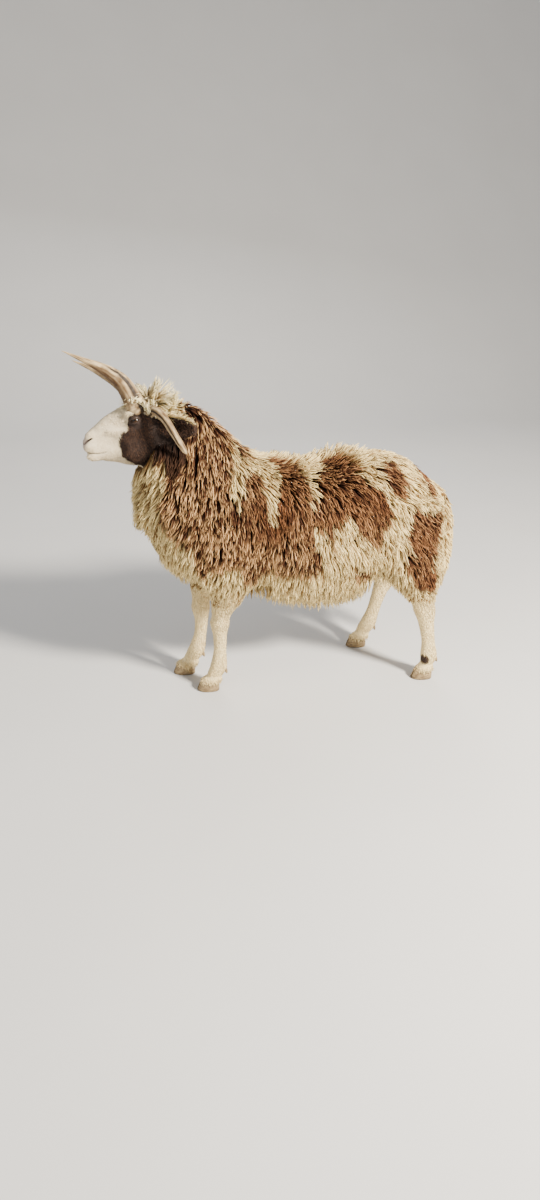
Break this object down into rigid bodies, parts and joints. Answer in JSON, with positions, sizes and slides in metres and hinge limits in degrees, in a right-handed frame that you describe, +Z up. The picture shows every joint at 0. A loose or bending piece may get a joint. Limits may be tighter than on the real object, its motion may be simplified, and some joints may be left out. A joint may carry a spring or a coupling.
{
  "type": "standing four-horned jacob sheep",
  "caption": "Standing piebald ewe with upswept and side horns, a shaggy fleece in cream and brown locks, slender white legs and cloven hooves.",
  "frame": {"origin": "on the ground, at the centre of the sheep's bounding box", "axes": "+Z up, -X the way the sheep faces, -Y its left side"},
  "size_m": [1.1354, 0.3706, 0.9625],
  "materials": {
    "fleece": "matt wool in cream and brown patches",
    "leg_hair": "short white hair",
    "face_hair": "short hair, white with a dark cheek",
    "ear_hair": "short dark hair",
    "horn": "satin horn with dark streaks",
    "hoof": "worn hoof horn",
    "eye": "wet and dark"
  },
  "bodies": {
    "root": {"ear_left": "ear_hair", "ear_right": "ear_hair", "eye_left": "eye", "eye_right": "eye", "head": "face_hair", "hoof_fore_left_inner": "hoof", "hoof_fore_left_outer": "hoof", "hoof_fore_right_inner": "hoof", "hoof_fore_right_outer": "hoof", "hoof_hind_left_inner": "hoof", "hoof_hind_left_outer": "hoof", "hoof_hind_right_inner": "hoof", "hoof_hind_right_outer": "hoof", "horn_side_left": "horn", "horn_side_right": "horn", "horn_upper_left": "horn", "horn_upper_right": "horn", "leg_fore_left": "fleece", "leg_fore_right": "fleece", "leg_hind_left": "fleece", "leg_hind_right": "fleece", "neck": "fleece", "shank_fore_left": "leg_hair", "shank_fore_right": "leg_hair", "shank_hind_left": "leg_hair", "shank_hind_right": "leg_hair", "tail": "fleece", "torso": "fleece"}
  },
  "joints": []
}
